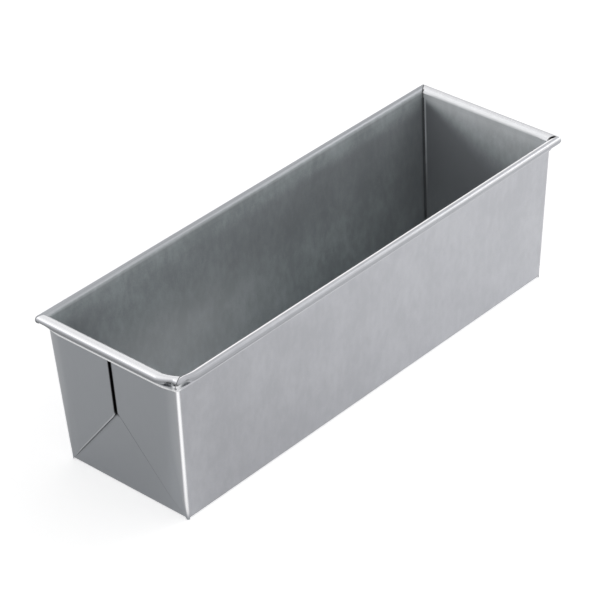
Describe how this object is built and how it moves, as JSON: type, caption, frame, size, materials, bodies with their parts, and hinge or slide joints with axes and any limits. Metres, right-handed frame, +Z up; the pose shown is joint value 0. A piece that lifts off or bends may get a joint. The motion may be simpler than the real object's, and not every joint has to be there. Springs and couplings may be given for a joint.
{
  "type": "pullman loaf pan",
  "caption": "Open straight-sided loaf pan folded from one steel sheet, with flat folded ears on its ends and a rim rolled round a wire.",
  "frame": {"origin": "centre of the underside", "axes": "+X along the pan, +Y across it, +Z up out of the mouth"},
  "size_m": [0.3456, 0.1124, 0.102],
  "materials": {
    "sheet": "dull aluminised steel",
    "wire": "plain drawn steel"
  },
  "bodies": {
    "root": {"pan_shell": "sheet", "rim_wire": "wire"}
  },
  "joints": []
}
